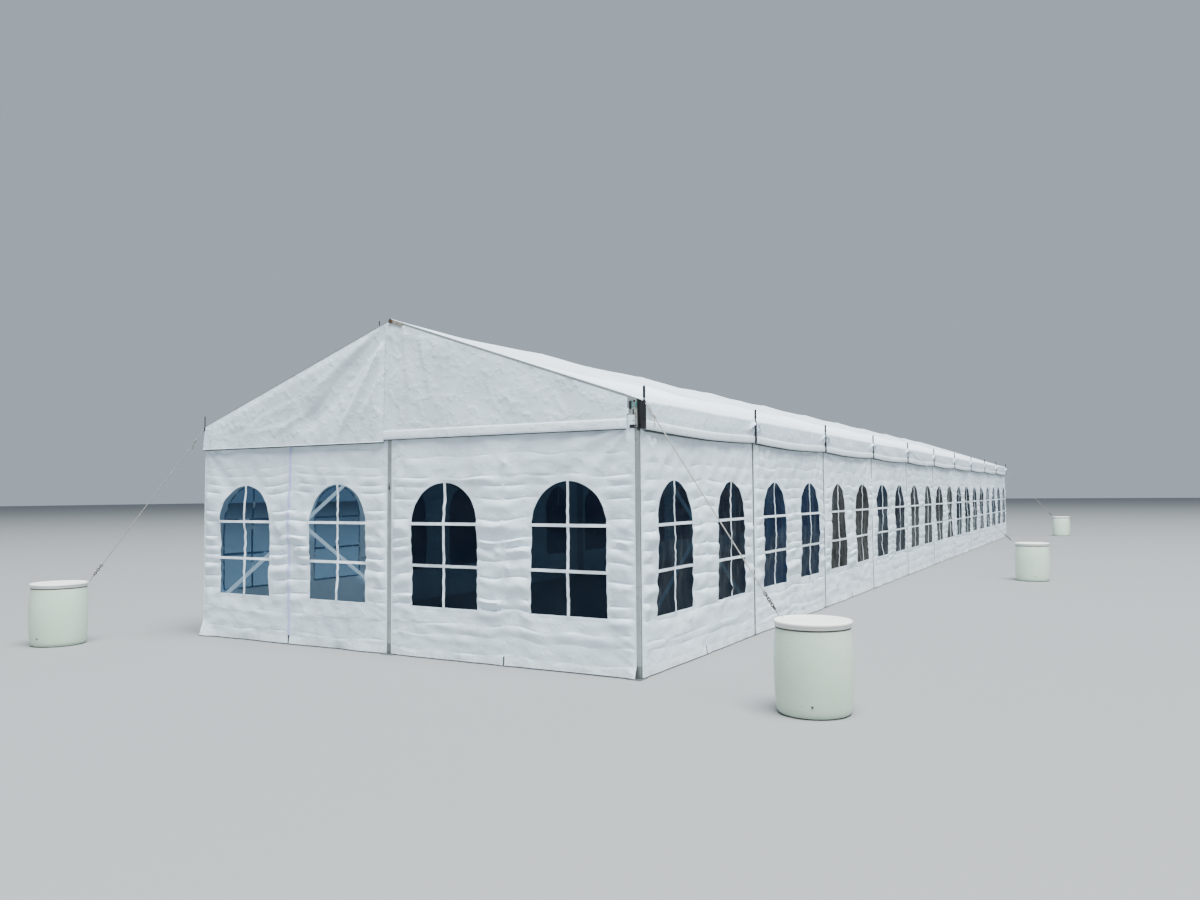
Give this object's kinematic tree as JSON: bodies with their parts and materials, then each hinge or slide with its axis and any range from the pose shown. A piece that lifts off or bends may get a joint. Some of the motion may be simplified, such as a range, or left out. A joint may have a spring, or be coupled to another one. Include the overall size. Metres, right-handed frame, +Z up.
{
  "type": "marquee tent",
  "caption": "Long clear-span marquee with a pitched white fabric roof, arched windows, guy ropes and drum ballast.",
  "frame": {"origin": "on the ground under the middle of the ridge, at the centre of the tent and its guy drums", "axes": "+Z up, +Y along the ridge away from the gable seen in the picture, +X towards the long side seen in the picture"},
  "size_m": [11.2582, 33.0396, 3.6056],
  "materials": {
    "frame_aluminium": "mill finish, dulled outdoors",
    "roof_fabric": "smooth white PVC-coated polyester",
    "wall_fabric": "creased white PVC-coated polyester",
    "window_film": "clear flexible PVC film, wavy",
    "guy_rope": "laid polyester rope",
    "drum_plastic": "translucent pale polyethylene"
  },
  "bodies": {
    "root": {"arch_frame_1": "frame_aluminium", "arch_frame_2": "frame_aluminium", "arch_frame_3": "frame_aluminium", "arch_frame_4": "frame_aluminium", "arch_frame_5": "frame_aluminium", "arch_frame_6": "frame_aluminium", "arch_frame_7": "frame_aluminium", "arch_frame_8": "frame_aluminium", "arch_frame_9": "frame_aluminium", "arch_frame_10": "frame_aluminium", "arch_frame_11": "frame_aluminium", "near_gable_post": "frame_aluminium", "far_gable_post": "frame_aluminium", "ridge_purlin": "frame_aluminium", "right_eave_purlin": "frame_aluminium", "left_eave_purlin": "frame_aluminium", "near_right_brace": "frame_aluminium", "near_left_brace": "frame_aluminium", "far_right_brace": "frame_aluminium", "far_left_brace": "frame_aluminium", "roof_panel_1": "roof_fabric", "roof_panel_2": "roof_fabric", "roof_panel_3": "roof_fabric", "roof_panel_4": "roof_fabric", "roof_panel_5": "roof_fabric", "roof_panel_6": "roof_fabric", "roof_panel_7": "roof_fabric", "roof_panel_8": "roof_fabric", "roof_panel_9": "roof_fabric", "roof_panel_10": "roof_fabric", "right_side_wall": "wall_fabric", "left_side_wall": "wall_fabric", "near_gable_wall_right": "wall_fabric", "near_gable_wall_left": "wall_fabric", "far_gable_wall_right": "wall_fabric", "far_gable_wall_left": "wall_fabric", "near_gable_top": "wall_fabric", "far_gable_top": "wall_fabric", "right_side_film": "window_film", "left_side_film": "window_film", "near_gable_film": "window_film", "far_gable_film": "window_film", "guy_rope_near_right": "guy_rope", "ballast_drum_near_right": "drum_plastic", "guy_rope_near_left": "guy_rope", "ballast_drum_near_left": "drum_plastic", "guy_rope_mid_right": "guy_rope", "ballast_drum_mid_right": "drum_plastic", "guy_rope_mid_left": "guy_rope", "ballast_drum_mid_left": "drum_plastic", "guy_rope_far_right": "guy_rope", "ballast_drum_far_right": "drum_plastic", "guy_rope_far_left": "guy_rope", "ballast_drum_far_left": "drum_plastic"}
  },
  "joints": []
}
